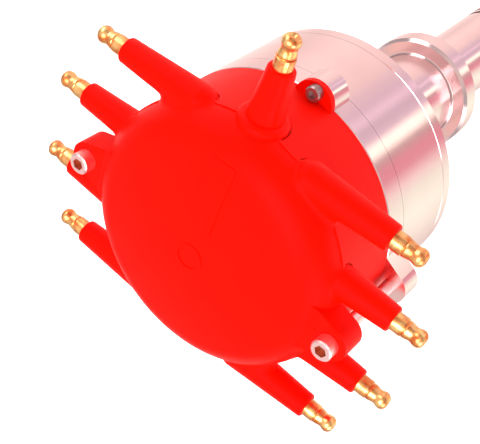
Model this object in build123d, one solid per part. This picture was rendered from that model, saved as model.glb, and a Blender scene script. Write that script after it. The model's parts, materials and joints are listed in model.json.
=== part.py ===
from build123d import *
from math import atan2, cos, degrees, hypot, radians, sin
import os

# Low-profile V8 ignition distributor. Millimetres, +Z up along the shaft, towards the cap.
# Origin on the shaft's axis, in the plane of the collar's seat on the engine.
# +X and -X point along the two rows of plug towers, -Y along the coil tower.

# Heights of the main planes
deck_z = 120.0                  # body's upper rim, where the cap base stands
body_height = 46.0
collar_height = 9.8
pilot_depth = 78.0              # full-size part of the stem below the collar
stem_foot_z = -155.0
crown_height = 46.5             # deck to the crown's middle
base_height = 29.0              # deck to the parting plane of the cap

# Housing
body_r = 50.0
bowl_r = 44.0
floor_thickness = 10.0
neck_r = 19.0
collar_r = 25.5
pilot_r = 15.8
waist_r = 12.5
foot_r = 14.6
foot_length = 26.0
rim_bevel = 0.8
band_groove_drop = 39.5         # deck to the turned groove near the body's foot
band_groove_width = 0.7
lug_r = 6.7
lug_height = 10.0
lead_hole_r = 6.0
lead_azimuth = 60.0
lead_drop = 17.0
lead_r = 1.3                    # each of the three leads
lead_pitch_r = 2.8
grommet_lip = 1.6

# Shaft and its bearings
shaft_r = 6.35
spindle_r = 4.75                # upper part of the shaft, inside the advance sleeve
running_gap = 0.05
bearing_r = 14.2875
bearing_height = 7.94
bearing_sink = 2.0              # floor to the bearing's top
ball_r = 2.38
ball_count = 8
cage_half_height = 3.2
bush_r = 8.2
bush_length = 25.0
passage_r = 7.5                 # drilled passage round the shaft
clip_thickness = 1.2

# Oil seals
seal_groove_depth = 2.6
seal_groove_width = 3.0
seal_top_z = -62.0
seal_pitch = 6.5

# Cap base
base_wall = 3.5
base_flange = 3.0
spigot_depth = 3.0
spigot_wall = 2.8
seat_gap = 0.15
base_lug_height = 2.2
base_lug_r = 7.6
base_lug_pitch_r = 48.6
key_width = 1.3                 # tongue under the crown, groove in the base
key_height = 1.2
key_inset = 1.4

# Cap crown
crown_wall = 3.5
shoulder_r = 13.5
dome_drop = 6.4                 # fall of the dome from its middle to the wall
tower_root_r = 6.3
tower_end_r = 4.7
coil_root_r = 7.6
coil_collar_r = 9.0            # round boss that the coil tower stands on
coil_collar_reach = 52.0
coil_collar_round = 2.2
coil_boss_depth = 10.0
inner_row = 16.4                # towers' distance from the X axis
outer_row = 43.3
inner_reach = 67.0              # tower ends' distance from the Y axis
outer_reach = 55.0
outer_root = 22.5
inner_root = 38.0
coil_drop = 2.5                 # coil tower below the parting plane
coil_reach = 70.5
coil_root = 40.0
stud_seat = 1.2                 # depth of the stud's foot in the tower
stud_seat_r = 2.9
ear_screw_r = 54.0              # pitch radius of the cap screws
ear_pad_r = 6.6
ear_top = 39.2                  # deck to the screw's seat on the ear
ear_spread = 15.0               # half width of the ear's ramp where it leaves the dome
ear_start = 27.0
edge_lip = 0.4                  # thin lip round the crown's lower edge
edge_lip_height = 1.3
root_round = 2.8                # round where a tower meets the crown
mark_height = 0.3               # rib and ring that stand proud of the dome
rib_y = 26.5
rib_width = 9.0
rib_length = 27.0
mark_ring_r = 5.3
mark_ring_width = 0.9

# Terminals
stud_r = 3.175
stud_length = 11.8
land_ratio = 1.06               # collar of the stud to its bulb
land_length = 4.2
shank_r = 2.2
electrode_pitch_r = 40.0
electrode_r = 2.5
electrode_foot = 11.0           # deck to the electrodes' lower ends
boss_r = 4.6
boss_foot = 17.0
boss_cover = 1.6
socket_r = 4.6
button_r = 3.0
button_length = 14.0
socket_roof = 36.0

# Screws
cap_screw_r = 2.4
cap_head_r = 3.96
cap_head_height = 4.8
base_screw_r = 1.75
base_head_r = 2.87
base_head_height = 3.0
base_screw_pitch_r = 53.0
base_screw_azimuths = (-93.5, 86.5)
thread_depth = 8.0
screw_gap = 0.05
hole_gap = 0.3

# Advance mechanism
advance_limit = 10.5            # degrees of the plate ahead of the shaft
weight_ratio = 1.2              # weight's swing for each degree of advance
plate_drop = 5.5                # deck to the advance plate's upper face
plate_thickness = 2.5
plate_r = 33.0
plate_half_width = 27.5
sleeve_r = 7.5
sleeve_foot_z = 88.1
pivot_r = 22.0
pin_r = 2.0
weight_inner_r = 18.0
weight_outer_r = 30.0
weight_eye_r = 4.6
weight_lift = 0.3
weight_thickness = 3.6
weight_start = 100.0
weight_end = 200.0
toe_r = 2.5
toe_x = 6.8
toe_y = 13.0
cam_half_width = 4.0
cam_tip_r = 16.4
cam_hub_r = 7.6
spring_post_r = 1.4
cam_post_y = 13.0
plate_post_r = 27.0
plate_post_azimuth = 45.0
spring_r = 2.1
spring_lift = 6.7
wire_d = 0.9
slot_r = 12.0
bushing_r = 3.2
slot_gap = 0.2
standoff_r = 3.6
standoff_pitch_r = 27.5
standoff_azimuth = 66.0
standoff_height = 9.6
rotor_screw_r = 1.7

# Rotor
rotor_r = 31.5
rotor_thickness = 5.0
rotor_arm_half = 6.0
rotor_arm_reach = 33.5
blade_reach = 36.9
blade_half = 4.0
blade_thickness = 2.0
blade_lift = 12.0               # deck to the blade's underside

# Trigger wheel and pickup
reluctor_foot = 10.0            # bowl floor to the wheel
reluctor_height = 7.0
reluctor_hub_r = 10.5
reluctor_root_r = 14.5
reluctor_tip_r = 20.2
tooth_width = 3.2
tooth_count = 8
air_gap = 0.5
pickup_plate_thickness = 1.6
pickup_plate_r = 40.0
pickup_plate_hole_r = 21.5
pole_half = 2.0
coil_r = 6.3
coil_length = 9.5
magnet_length = 5.0
magnet_half = 6.0
pickup_screw_azimuths = (20.0, 160.0)
pickup_screw_pitch_r = 35.0

# Drive gear
gear_teeth = 13
gear_tip_r = 15.6               # passes through the stem's hole in the engine
gear_root_r = 12.0
gear_length = 22.0
gear_twist = 75.0
hub_r = 11.5
hub_length = 8.0
washer_count = 2
washer_thickness = 0.95
gear_pin_r = 1.6
tail_length = 9.0
drive_slot_width = 4.8
drive_slot_depth = 6.0

# Heights that follow from the sizes above
body_foot_z = deck_z - body_height
floor_z = body_foot_z + floor_thickness
parting_z = deck_z + base_height
crown_z = deck_z + crown_height
coil_z = parting_z - coil_drop
plate_z = deck_z - plate_drop
weight_z = plate_z + weight_lift
cam_z = weight_z + weight_thickness
spring_z = plate_z + spring_lift
rotor_z = plate_z + standoff_height
blade_z = deck_z + blade_lift
button_z = blade_z + blade_thickness + running_gap
bearing_top_z = floor_z - bearing_sink
bearing_z = bearing_top_z - bearing_height
race_r = (bearing_r + shaft_r) / 2
gear_top_z = stem_foot_z - washer_count * (washer_thickness + running_gap) - running_gap
gear_foot_z = gear_top_z - hub_length - gear_length
shaft_foot_z = gear_foot_z - tail_length
shoulder_z = sleeve_foot_z - 2 * running_gap


def at(radius, azimuth, z=0.0):
    """Location at a polar place round the shaft's axis."""
    return Pos(radius * cos(radians(azimuth)), radius * sin(radians(azimuth)), z)


def rod(radius, z0, z1):
    """Upright cylinder between two heights."""
    return Pos(0, 0, z0) * extrude(Circle(radius), z1 - z0)


def ring(inner_r, outer_r, z0, z1):
    """Upright ring between two heights."""
    return Pos(0, 0, z0) * extrude(Circle(outer_r) - Circle(inner_r), z1 - z0)


def slab(sketch, z0, z1):
    """Flat outline raised between two heights."""
    return Pos(0, 0, z0) * extrude(sketch, z1 - z0)


def rounded(face, corners):
    """Outline with the corner nearest each (x, y) given its radius."""
    for x, y, radius in corners:
        corner = face.vertices().sort_by_distance((x, y, 0))[0]
        face = fillet(corner, radius)
    return face


def bevelled(face, corners):
    """Outline with the corner nearest each (x, y) cut off by its length."""
    for x, y, length in corners:
        corner = face.vertices().sort_by_distance((x, y, 0))[0]
        face = chamfer(corner, length)
    return face


def turned(points, rounds=(), bevels=()):
    """Solid of revolution about the shaft's axis, from (radius, height) points."""
    face = make_face(Polyline(*points, close=True))
    face = bevelled(rounded(face, rounds), bevels)
    return revolve(Plane.XZ * face, Axis.Z)


def turned_copies(solid, angles):
    """The same solid turned to each azimuth."""
    return [Rot(0, 0, angle) * solid for angle in angles]


def hull_of(*outlines):
    """Convex outline round several flat shapes."""
    edges = []
    for outline in outlines:
        edges += outline.edges()
    return make_hull(edges)


def lug_outline(pitch_r, radius):
    """Half-round lug on the +X side that grows out of a round wall."""
    root = Pos(body_r - radius, 0) * Rectangle(radius, 3.4 * radius)
    return hull_of(Pos(pitch_r, 0) * Circle(radius), root)


def base_lug_outline():
    """Shallow round lug for a base screw."""
    return Pos(base_lug_pitch_r, 0) * Circle(base_lug_r)


# ---------------------------------------------------------------- housing


def housing_blank():
    """Turned outside of the bowl, neck, collar and stem."""
    foot_top = stem_foot_z + foot_length
    groove_z = deck_z - band_groove_drop
    taper = foot_r - waist_r
    step = pilot_r - waist_r
    points = [
        (0, stem_foot_z),
        (foot_r, stem_foot_z),
        (foot_r, foot_top),
        (waist_r, foot_top + taper),
        (waist_r, -pilot_depth - step),
        (pilot_r, -pilot_depth),
        (pilot_r, 0),
        (collar_r, 0),
        (collar_r, collar_height),
        (neck_r, collar_height),
        (neck_r, body_foot_z),
        (body_r, body_foot_z),
        (body_r, groove_z - band_groove_width),
        (body_r - band_groove_width, groove_z - band_groove_width / 2),
        (body_r, groove_z),
        (body_r, deck_z),
        (0, deck_z),
    ]
    rounds = [(neck_r, collar_height, 1.0), (neck_r, body_foot_z, 4.0)]
    bevels = [
        (foot_r, stem_foot_z, 1.2),
        (collar_r, 0, 0.8),
        (collar_r, collar_height, 1.2),
        (body_r, body_foot_z, 1.0),
        (body_r, deck_z, rim_bevel),
    ]
    return turned(points, rounds, bevels)


def seal_heights():
    return [seal_top_z - seal_pitch * i - seal_groove_width / 2 for i in range(2)]


def body_lug(outline):
    """Lug on the bowl's rim, bevelled round its foot."""
    lug = slab(outline, deck_z - lug_height, deck_z)
    foot_edges = lug.edges().filter_by(GeomType.CIRCLE).group_by(Axis.Z)[0]
    return chamfer(foot_edges, 1.0)


def housing():
    """Bowl, neck, collar and stem, machined from one billet."""
    body = housing_blank()
    for part in turned_copies(body_lug(lug_outline(ear_screw_r, lug_r)), (0, 180)):
        body += part
    for part in turned_copies(body_lug(base_lug_outline()), base_screw_azimuths):
        body += part
    body -= rod(bowl_r, floor_z, deck_z)
    body -= rod(bearing_r, bearing_z, floor_z)
    body -= rod(bearing_r + 0.9, bearing_top_z, bearing_top_z + clip_thickness)
    body -= rod(passage_r, stem_foot_z, bearing_z)
    body -= rod(bush_r, stem_foot_z, stem_foot_z + bush_length)
    for z in seal_heights():
        half = seal_groove_width / 2
        body -= ring(pilot_r - seal_groove_depth, pilot_r + 1, z - half, z + half)
    for azimuth in (0, 180):
        body -= at(ear_screw_r, azimuth) * rod(cap_screw_r + screw_gap, deck_z - thread_depth, deck_z)
    base_hole = rod(base_screw_r + screw_gap, deck_z - thread_depth, deck_z)
    for azimuth in base_screw_azimuths:
        body -= at(base_screw_pitch_r, azimuth) * base_hole
    body -= lead_bore(lead_hole_r)
    for azimuth in pickup_screw_azimuths:
        hole = rod(rotor_screw_r + screw_gap, floor_z - 5.5, floor_z)
        body -= at(pickup_screw_pitch_r, azimuth) * hole
    return body


def lead_bore(radius):
    """Radial cylinder through the bowl's wall where the pickup lead leaves."""
    bore = radial_plug(radius, bowl_r - 4, body_r + 4)
    return Pos(0, 0, deck_z - lead_drop) * Rot(0, 0, lead_azimuth) * bore


def seal(z):
    """Oil seal, seated flush in its groove."""
    section_r = seal_groove_depth / 2
    return Pos(0, 0, z) * Torus(pilot_r - section_r, section_r)


def radial_plug(radius, r0, r1):
    """Cylinder along +X between two distances from the axis."""
    return Pos(r0, 0, 0) * Rot(0, 90, 0) * extrude(Circle(radius), r1 - r0)


def wire_grommet():
    """Rubber grommet with three lead holes, its lips on both faces of the bowl's wall."""
    wall = ring(bowl_r, body_r, -2 * lead_hole_r, 2 * lead_hole_r)
    wall -= radial_plug(lead_hole_r, bowl_r - 4, body_r + 4)
    grommet = radial_plug(lead_hole_r + grommet_lip, bowl_r - grommet_lip, body_r + grommet_lip) - wall
    for angle in (90, 210, 330):
        hole = Rot(angle, 0, 0) * Pos(0, 0, lead_pitch_r) * radial_plug(lead_r, bowl_r - 4, body_r + 4)
        grommet -= hole
    return Pos(0, 0, deck_z - lead_drop) * Rot(0, 0, lead_azimuth) * grommet


def lower_bushing():
    return ring(shaft_r + running_gap, bush_r, stem_foot_z, stem_foot_z + bush_length)


# ---------------------------------------------------------------- bearing


def race_groove(clearance):
    return Pos(0, 0, bearing_z + bearing_height / 2) * Torus(race_r, ball_r + clearance)


def bearing_outer_race():
    race = ring(race_r + ball_r * 0.6, bearing_r, bearing_z, bearing_top_z)
    return race - race_groove(running_gap)


def bearing_inner_race():
    race = ring(shaft_r, race_r - ball_r * 0.6, bearing_z, bearing_top_z)
    return race - race_groove(running_gap)


def bearing_balls():
    ball = Pos(race_r, 0, bearing_z + bearing_height / 2) * Sphere(ball_r)
    return Compound([Rot(0, 0, 360 / ball_count * i) * ball for i in range(ball_count)])


def bearing_cage():
    """Ribbon that spaces the balls."""
    middle = bearing_z + bearing_height / 2
    cage = ring(race_r - 0.7, race_r + 0.7, middle - cage_half_height, middle + cage_half_height)
    pocket = Pos(0, 0, middle) * radial_plug(ball_r + running_gap, shaft_r, bearing_r)
    return cage - turned_copies(pocket, [360 / ball_count * i for i in range(ball_count)])


def bearing_ring():
    """Open retaining ring in its groove over the bearing."""
    z0 = bearing_top_z
    band = ring(bearing_r - 1.6, bearing_r + 0.8, z0 + 0.05, z0 + clip_thickness - 0.05)
    eye = Pos(bearing_r - 2.2, 0) * ring(0.8, 1.7, z0 + 0.05, z0 + clip_thickness - 0.05)
    for side in (-1, 1):
        band += Rot(0, 0, 14 * side) * eye
    gap = slab(Pos(bearing_r, 0) * Rectangle(8, 4), z0, z0 + clip_thickness)
    return band - gap


# ---------------------------------------------------------------- cap


def corner_azimuths():
    """Azimuths of the eight electrodes, half a pitch away from the axes."""
    return [22.5 + 45.0 * i for i in range(8)]


def tower_place(azimuth):
    """Side (+1 or -1 along X), row, root and reach of the tower of one electrode."""
    side = 1 if cos(radians(azimuth)) > 0 else -1
    half = 1 if sin(radians(azimuth)) > 0 else -1
    outer = abs(sin(radians(azimuth))) > abs(cos(radians(azimuth)))
    row = half * (outer_row if outer else inner_row)
    root = outer_root if outer else inner_root
    reach = outer_reach if outer else inner_reach
    return side, row, root, reach


def tower_form(root, reach, root_r, grow=0.0):
    """Tapered tower along +X with a round root and a softened mouth."""
    a, b = root_r + grow, tower_end_r + grow
    lip = 0.9
    edge = [
        Line((root - a, 0), (reach, 0)),
        Line((reach, 0), (reach, b - lip)),
        ThreePointArc((reach, b - lip), (reach - 0.3 * lip, b - 0.3 * lip), (reach - lip, b)),
        Line((reach - lip, b), (root, a)),
        ThreePointArc((root, a), (root - a * 0.70711, a * 0.70711), (root - a, 0)),
    ]
    return Rot(90, 0, 0) * revolve(make_face(edge), Axis.X)


def plug_tower(azimuth, grow=0.0):
    side, row, root, reach = tower_place(azimuth)
    turn = 0 if side > 0 else 180
    return Pos(0, row, parting_z) * Rot(0, 0, turn) * tower_form(root, reach, tower_root_r, grow)


def coil_tower(grow=0.0):
    """Coil tower along -Y on its round boss."""
    side, end = coil_collar_r + grow, coil_collar_reach + grow
    foot = coil_root - coil_boss_depth
    half = Pos((foot + end) / 2, side / 2) * Rectangle(end - foot, side)
    half = rounded(half, [(end, side, coil_collar_round)])
    boss = Rot(90, 0, 0) * revolve(half, Axis.X)
    tower = tower_form(coil_root, coil_reach, coil_root_r, grow)
    return Pos(0, 0, coil_z) * Rot(0, 0, -90) * (tower + boss)


def dome(shrink, foot_z):
    """Crown without its towers down to a height, or its hollow when shrunk by the wall."""
    top = crown_z - shrink
    side = body_r - shrink
    outline = make_face(
        [
            ThreePointArc((0, top), (side / 2, top - dome_drop / 4), (side, top - dome_drop)),
            Line((side, top - dome_drop), (side, foot_z)),
            Line((side, foot_z), (0, foot_z)),
            Line((0, foot_z), (0, top)),
        ]
    )
    outline = rounded(outline, [(side, top - dome_drop, shoulder_r - shrink)])
    return revolve(Plane.XZ * outline, Axis.Z)


def ear():
    """Screw ear on the +X side, on a ramp that leaves the dome at a shallow slope."""
    top = deck_z + ear_top
    dome_top = crown_z - dome_drop * (hypot(ear_start, ear_spread) / body_r) ** 2
    pad_start = ear_screw_r - ear_pad_r
    root = Pos(ear_start, 0) * Rectangle(4, 2 * ear_spread)
    outline = hull_of(Pos(ear_screw_r, 0) * Circle(ear_pad_r), root)
    reach = ear_screw_r + 2 * ear_pad_r
    slope = [(ear_start, parting_z), (ear_start, dome_top), (pad_start, top), (reach, top), (reach, parting_z)]
    ramp = extrude(Plane.XZ * make_face(Polyline(*slope, close=True)), 3 * ear_spread, both=True)
    return slab(outline, parting_z, crown_z) & ramp


def dome_marks():
    """Flat rib and small ring that stand just proud of the dome."""
    skin = dome(-mark_height, parting_z)
    rib = slab(Pos(0, -rib_y) * Rectangle(rib_width, rib_length), parting_z, crown_z + 1)
    return (rib + ring(mark_ring_r - mark_ring_width, mark_ring_r, parting_z, crown_z + 1)) & skin


def terminal_body(azimuth):
    """Brass terminal: stud, shank through the tower and electrode, as one solid."""
    side, row, root, reach = tower_place(azimuth)
    turn = 0 if side > 0 else 180
    foot = reach - stud_seat
    lead = Pos(foot, 0, 0) * stud_form() + radial_plug(shank_r, root - shank_r, foot)
    lead = Pos(0, row, parting_z) * Rot(0, 0, turn) * lead
    post = at(electrode_pitch_r, azimuth) * rod(electrode_r, deck_z + electrode_foot, parting_z + shank_r)
    bend = Pos(side * (root - shank_r), row) * Circle(shank_r)
    arm = hull_of(at(electrode_pitch_r, azimuth) * Circle(shank_r), bend)
    return lead + post + slab(arm, parting_z - shank_r, parting_z + shank_r)


def stud_form():
    """Exposed clip-on stud along +X: seated foot, collar, waist, bulb and tip."""
    land = stud_r * land_ratio
    waist = stud_r * 0.76
    tip = stud_r * 0.66
    x0 = stud_seat + land_length
    x1 = stud_seat + stud_length
    edge = [
        Line((0, 0), (0, stud_seat_r)),
        Line((0, stud_seat_r), (stud_seat, stud_seat_r)),
        Line((stud_seat, stud_seat_r), (stud_seat, land)),
        Line((stud_seat, land), (x0, land)),
        Line((x0, land), (x0 + 0.5, waist)),
        Line((x0 + 0.5, waist), (x0 + 1.5, waist)),
        ThreePointArc((x0 + 1.5, waist), (x0 + 2.1, stud_r * 0.93), (x0 + 3.2, stud_r)),
        Line((x0 + 3.2, stud_r), (x1 - 2.2, stud_r)),
        ThreePointArc((x1 - 2.2, stud_r), (x1 - 0.7, stud_r * 0.87), (x1, tip)),
        Line((x1, tip), (x1 - 0.8, tip - 0.7)),
        Line((x1 - 0.8, tip - 0.7), (x1 - 0.8, 0)),
        Line((x1 - 0.8, 0), (0, 0)),
    ]
    return revolve(make_face(edge), Axis.X)


def coil_terminal():
    """Coil tower's terminal with the strap that leads to the centre socket."""
    strap_z = deck_z + socket_roof
    stud = Pos(coil_reach - stud_seat, 0, 0) * stud_form()
    shank_length = coil_reach - stud_seat - coil_root
    shank = Pos(coil_root, 0, 0) * Rot(0, 90, 0) * extrude(Circle(shank_r), shank_length)
    lead = Pos(0, 0, coil_z) * Rot(0, 0, -90) * (stud + shank)
    riser = slab(Pos(0, -coil_root) * Rectangle(4, 3), coil_z - shank_r, strap_z + 1.5)
    strap = slab(Pos(0, -coil_root / 2) * Rectangle(4, coil_root), strap_z, strap_z + 1.5)
    socket = rod(socket_r, button_z + button_length - 5, strap_z + 1.5)
    bore = rod(button_r + running_gap, deck_z, strap_z - 0.5)
    return lead + riser + strap + socket - bore


def edge_key(edge):
    """Rounded centre and length, by which the same edge is known again."""
    centre = edge.center()
    return tuple(round(value, 2) for value in (centre.X, centre.Y, centre.Z, edge.length))


def blended(body, form, radius):
    """Body with a form added, the new inner corner between them rounded."""
    joined = body + form
    known = {edge_key(edge) for edge in body.edges() + form.edges()}
    corner = [edge for edge in joined.edges().filter_by(GeomType.BSPLINE) if edge_key(edge) not in known]
    return fillet([edge for edge in corner if edge.center().Z > parting_z + 0.5], radius)


def crown_outside():
    """Dome, shoulder, nine towers and two ears."""
    body = dome(0, parting_z)
    for azimuth in corner_azimuths():
        body = blended(body, plug_tower(azimuth), root_round)
    body += coil_tower()
    for part in turned_copies(ear(), (0, 180)):
        body += part
    body += ring(body_r - 1, body_r + edge_lip, parting_z, parting_z + edge_lip_height)
    return body + dome_marks()


def crown_inner_bosses():
    """Bosses and rib under the roof that hold the electrodes and the coil strap."""
    form = None
    for azimuth in corner_azimuths():
        side, row, root, reach = tower_place(azimuth)
        place = at(electrode_pitch_r, azimuth)
        boss = place * rod(boss_r, deck_z + boss_foot, crown_z)
        link_plan = hull_of(place * Circle(boss_r), Pos(side * root, row) * Circle(boss_r))
        link = slab(link_plan, parting_z - shank_r - boss_cover, crown_z)
        form = boss + link if form is None else form + boss + link
    rib = slab(Pos(0, -coil_root / 2) * Rectangle(8, coil_root + 6), coil_z - shank_r - boss_cover, crown_z)
    hub = rod(socket_r + 2.2, button_z + button_length - 6, crown_z)
    return form + rib + hub


def cap_crown():
    """Moulded crown with its towers, ears and inner bosses."""
    limit = rod(body_r - seat_gap - base_wall, deck_z, parting_z) + dome(crown_wall / 2, parting_z)
    body = crown_outside() - dome(crown_wall, deck_z)
    body += crown_inner_bosses() & limit
    tongue_r = body_r - key_inset
    body += ring(tongue_r - key_width, tongue_r, parting_z - key_height, parting_z)
    for azimuth in corner_azimuths():
        body -= terminal_body(azimuth)
    body -= coil_terminal()
    body -= rod(button_r + hole_gap, deck_z, deck_z + socket_roof - 0.5)
    for azimuth in (0, 180):
        body -= at(ear_screw_r, azimuth) * rod(cap_screw_r + hole_gap, deck_z, crown_z)
    return body


def base_wall_ring():
    """Wall of the base, notched for the towers and grooved for the crown's tongue."""
    tongue_r = body_r - key_inset
    groove_foot = parting_z - key_height - seat_gap
    wall = ring(body_r - base_wall, body_r, deck_z, parting_z)
    wall -= ring(tongue_r - key_width - seat_gap, tongue_r + seat_gap, groove_foot, parting_z)
    towers = [plug_tower(azimuth, hole_gap) for azimuth in corner_azimuths()]
    return wall - towers - coil_tower(hole_gap)


def cap_base():
    """Moulded ring between crown and body, with two screw lugs."""
    inner_r = body_r - base_wall
    spigot_r = bowl_r - seat_gap
    body = base_wall_ring()
    body += ring(spigot_r - spigot_wall, inner_r, deck_z, deck_z + base_flange)
    body += ring(spigot_r - spigot_wall, spigot_r, deck_z - spigot_depth, deck_z)
    hollow = rod(inner_r, deck_z, parting_z)
    lug = slab(base_lug_outline(), deck_z, deck_z + base_lug_height) - hollow
    for part in turned_copies(lug, base_screw_azimuths):
        body += part
    hole = rod(base_screw_r + hole_gap, deck_z, deck_z + base_lug_height)
    for azimuth in base_screw_azimuths:
        body -= at(base_screw_pitch_r, azimuth) * hole
    return body


def carbon_button():
    return turned(
        [
            (0, button_z),
            (button_r, button_z),
            (button_r, button_z + button_length),
            (0, button_z + button_length),
        ],
        rounds=[(button_r, button_z, 1.0)],
    )


def contact_spring():
    """Light compression spring between the button and the socket's roof."""
    foot = button_z + button_length
    roof = deck_z + socket_roof - 0.5
    wire_r = 0.35
    turns = 4
    coil_mean_r = button_r - 2 * wire_r
    height = roof - foot - 2 * wire_r
    path = Pos(0, 0, foot + wire_r) * Helix(height / turns, height, coil_mean_r)
    section = Plane(path @ 0, z_dir=path % 0) * Circle(wire_r)
    return sweep(section, path)


# ---------------------------------------------------------------- screws


def socket_screw(shank_radius, head_radius, head_height, seat_z, foot_z):
    """Upright socket-head screw, its head standing on the seat."""
    head = rod(head_radius, seat_z, seat_z + head_height)
    top_edge = head.edges().group_by(Axis.Z)[-1]
    head = chamfer(top_edge, 0.5)
    across = head_radius
    hexagon = RegularPolygon(across / 2, 6, major_radius=False)
    key = slab(hexagon, seat_z + head_height * 0.45, seat_z + head_height)
    return head - key + rod(shank_radius, foot_z, seat_z)


def cap_screws():
    screw = socket_screw(
        cap_screw_r, cap_head_r, cap_head_height, deck_z + ear_top, deck_z - thread_depth + 1
    )
    return Compound([at(ear_screw_r, azimuth) * screw for azimuth in (0, 180)])


def base_screws():
    seat = deck_z + base_lug_height
    screw = socket_screw(base_screw_r, base_head_r, base_head_height, seat, deck_z - thread_depth + 1)
    return Compound([at(base_screw_pitch_r, azimuth) * screw for azimuth in base_screw_azimuths])


# ---------------------------------------------------------------- rotor


def rotor_mounts():
    return [at(standoff_pitch_r, standoff_azimuth), at(standoff_pitch_r, standoff_azimuth + 180)]


def rotor():
    """Moulded rotor: disc, centre hub and arm under the blade."""
    disc = rod(rotor_r, rotor_z, rotor_z + rotor_thickness)
    disc = fillet(disc.edges().group_by(Axis.Z)[-1], 1.5)
    arm_plan = Pos(rotor_arm_reach / 2 - 4, 0) * Rectangle(rotor_arm_reach + 8, 2 * rotor_arm_half)
    arm_plan = rounded(arm_plan, [(rotor_arm_reach, 6, 2), (rotor_arm_reach, -6, 2)])
    body = disc + slab(arm_plan, rotor_z, blade_z)
    body += rod(10, rotor_z, blade_z)
    body -= rod(8, rotor_z, rotor_z + 2.5)
    for place in rotor_mounts():
        body -= place * rod(rotor_screw_r + hole_gap, rotor_z, blade_z)
    body -= rotor_blade()
    return body


def rotor_blade():
    """Brass blade from the centre contact to the tip."""
    strip = Pos(blade_reach / 2, 0) * Rectangle(blade_reach, 2 * blade_half)
    plan = strip + Circle(blade_half + 1.5)
    tip = Pos(blade_reach - 3, 0) * Rectangle(12, 14)
    plan = plan - (tip - Circle(blade_reach))
    blade = slab(plan, blade_z, blade_z + blade_thickness)
    for x in (12.0, 26.0):
        blade += Pos(x, 0) * rod(1.6, blade_z - 2.5, blade_z + blade_thickness + 0.8)
    return blade


def rotor_screws():
    seat = rotor_z + rotor_thickness
    head = rod(3.2, seat, seat + 2.2)
    head = fillet(head.edges().group_by(Axis.Z)[-1], 0.9)
    slot = slab(Rectangle(8, 0.9), seat + 1.2, seat + 2.3)
    screw = head - slot + rod(rotor_screw_r, seat - rotor_thickness - 7, seat)
    return Compound([place * screw for place in rotor_mounts()])


# ---------------------------------------------------------------- advance


def advance_slot(angle_0, angle_1, half_width):
    """Curved slot of constant radius round the axis."""
    arc = CenterArc((0, 0), slot_r, angle_0, angle_1 - angle_0)
    plan = make_face(offset_band(slot_r, half_width, angle_0, angle_1))
    for angle in (angle_0, angle_1):
        plan += at(slot_r, angle) * Circle(half_width)
    return plan


def offset_band(mean_r, half_width, angle_0, angle_1):
    """Edges of an arc-shaped band."""
    inner = CenterArc((0, 0), mean_r - half_width, angle_0, angle_1 - angle_0)
    outer = CenterArc((0, 0), mean_r + half_width, angle_0, angle_1 - angle_0)
    return [inner, Line(inner @ 1, outer @ 1), outer, Line(outer @ 0, inner @ 0)]


def plate_posts():
    return [at(plate_post_r, plate_post_azimuth + 180 * i) for i in range(2)]


def advance_plate():
    """Plate and sleeve that carry the weights, the rotor and the trigger wheel."""
    plan = Circle(plate_r) & Rectangle(2 * plate_half_width, 2 * plate_r)
    for i in range(2):
        plan -= advance_slot(180 * i - 0.6, 180 * i + advance_limit + 0.6, bushing_r + slot_gap)
    body = slab(plan, plate_z - plate_thickness, plate_z)
    body += rod(sleeve_r, sleeve_foot_z, plate_z)
    for place in rotor_mounts():
        body += place * rod(standoff_r, plate_z, rotor_z)
        body -= place * rod(rotor_screw_r + screw_gap, plate_z, rotor_z)
    for place in plate_posts():
        body += place * rod(spring_post_r, plate_z, spring_z + 1.6)
    for side in (1, -1):
        body -= Pos(0, side * pivot_r) * rod(pin_r, plate_z - plate_thickness, plate_z)
    body -= rod(spindle_r + running_gap, sleeve_foot_z, plate_z)
    return body


def weight_pins():
    pin = rod(pin_r, plate_z - plate_thickness, cam_z + 1.6)
    pin -= ring(pin_r - 0.5, pin_r + 1, cam_z + 0.3, cam_z + 1.0)
    return Compound([Pos(0, side * pivot_r) * pin for side in (1, -1)])


def weight_clips():
    band = ring(pin_r - 0.5, pin_r + 1.7, cam_z + 0.3, cam_z + 1.0)
    band -= slab(Pos(0, -3) * Rectangle(2.4, 4), cam_z, cam_z + 2)
    return Compound([Rot(0, 0, turn) * Pos(0, pivot_r) * Rot(0, 0, 180) * band for turn in (0, 180)])


def weight_form():
    """Centrifugal weight whose pivot stands on +Y: eye, toe and curved mass."""
    mean_r = (weight_inner_r + weight_outer_r) / 2
    half = (weight_outer_r - weight_inner_r) / 2
    mass = make_face(offset_band(mean_r, half, weight_start, weight_end))
    corner_a = (weight_inner_r * cos(radians(weight_end)), weight_inner_r * sin(radians(weight_end)))
    corner_b = (weight_outer_r * cos(radians(weight_end)), weight_outer_r * sin(radians(weight_end)))
    mass = rounded(mass, [(*corner_a, 2.5), (*corner_b, 4.0)])
    eye = Pos(0, pivot_r) * Circle(weight_eye_r)
    link = hull_of(eye, at(mean_r, weight_start + 6) * Circle(half * 0.7))
    toe = hull_of(Pos(1.5, pivot_r - 1) * Circle(3.2), Pos(toe_x, toe_y) * Circle(toe_r))
    toe -= Pos(0, 0) * Circle(cam_tip_r + 0.6) & Rectangle(2 * cam_half_width + 0.6, 60)
    plan = mass + eye + link + toe - Pos(0, pivot_r) * Circle(pin_r + running_gap)
    return slab(plan, weight_z, cam_z)


def advance_weight(turn):
    return Rot(0, 0, turn) * weight_form()


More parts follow.
